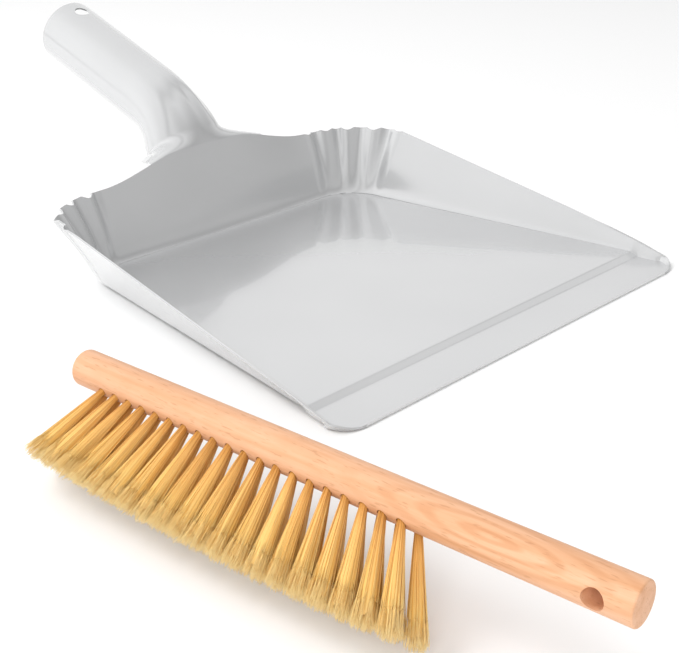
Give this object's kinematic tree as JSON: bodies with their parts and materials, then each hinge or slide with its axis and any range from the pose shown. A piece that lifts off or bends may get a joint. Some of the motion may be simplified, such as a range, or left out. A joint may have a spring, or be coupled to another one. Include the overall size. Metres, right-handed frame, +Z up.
{
  "type": "dust pan and brush set",
  "caption": "Pressed steel dust pan with a rolled tube handle, and a wooden hand brush with two rows of bristle tufts.",
  "frame": {"origin": "under the middle of the pan's flat front lip, on the floor", "axes": "+X to the pan's right seen from behind its lip, +Y from the lip towards the pan's handle, +Z up"},
  "size_m": [0.3627, 0.55, 0.115],
  "materials": {
    "steel": "glossy light grey enamel over thin pressed steel sheet",
    "wood": "smooth beech with a thin oil, fine short flecks",
    "bristle": "golden plastic filaments with paler split ends"
  },
  "bodies": {
    "pan": {"pan_body": "steel"},
    "brush": {"brush_stick": "wood", "tuft_upper_1": "bristle", "tuft_upper_2": "bristle", "tuft_upper_3": "bristle", "tuft_upper_4": "bristle", "tuft_upper_5": "bristle", "tuft_upper_6": "bristle", "tuft_upper_7": "bristle", "tuft_upper_8": "bristle", "tuft_upper_9": "bristle", "tuft_upper_10": "bristle", "tuft_upper_11": "bristle", "tuft_upper_12": "bristle", "tuft_upper_13": "bristle", "tuft_upper_14": "bristle", "tuft_upper_15": "bristle", "tuft_upper_16": "bristle", "tuft_upper_17": "bristle", "tuft_upper_18": "bristle", "tuft_upper_19": "bristle", "tuft_upper_20": "bristle", "tuft_lower_1": "bristle", "tuft_lower_2": "bristle", "tuft_lower_3": "bristle", "tuft_lower_4": "bristle", "tuft_lower_5": "bristle", "tuft_lower_6": "bristle", "tuft_lower_7": "bristle", "tuft_lower_8": "bristle", "tuft_lower_9": "bristle", "tuft_lower_10": "bristle", "tuft_lower_11": "bristle", "tuft_lower_12": "bristle", "tuft_lower_13": "bristle", "tuft_lower_14": "bristle", "tuft_lower_15": "bristle", "tuft_lower_16": "bristle", "tuft_lower_17": "bristle", "tuft_lower_18": "bristle", "tuft_lower_19": "bristle", "tuft_lower_20": "bristle", "tuft_lower_21": "bristle"}
  },
  "joints": [
    {"name": "brush_lift", "type": "slide", "parent": "pan", "child": "brush", "axis": [0, 0, 1], "range_m": [0, 0.25]}
  ]
}
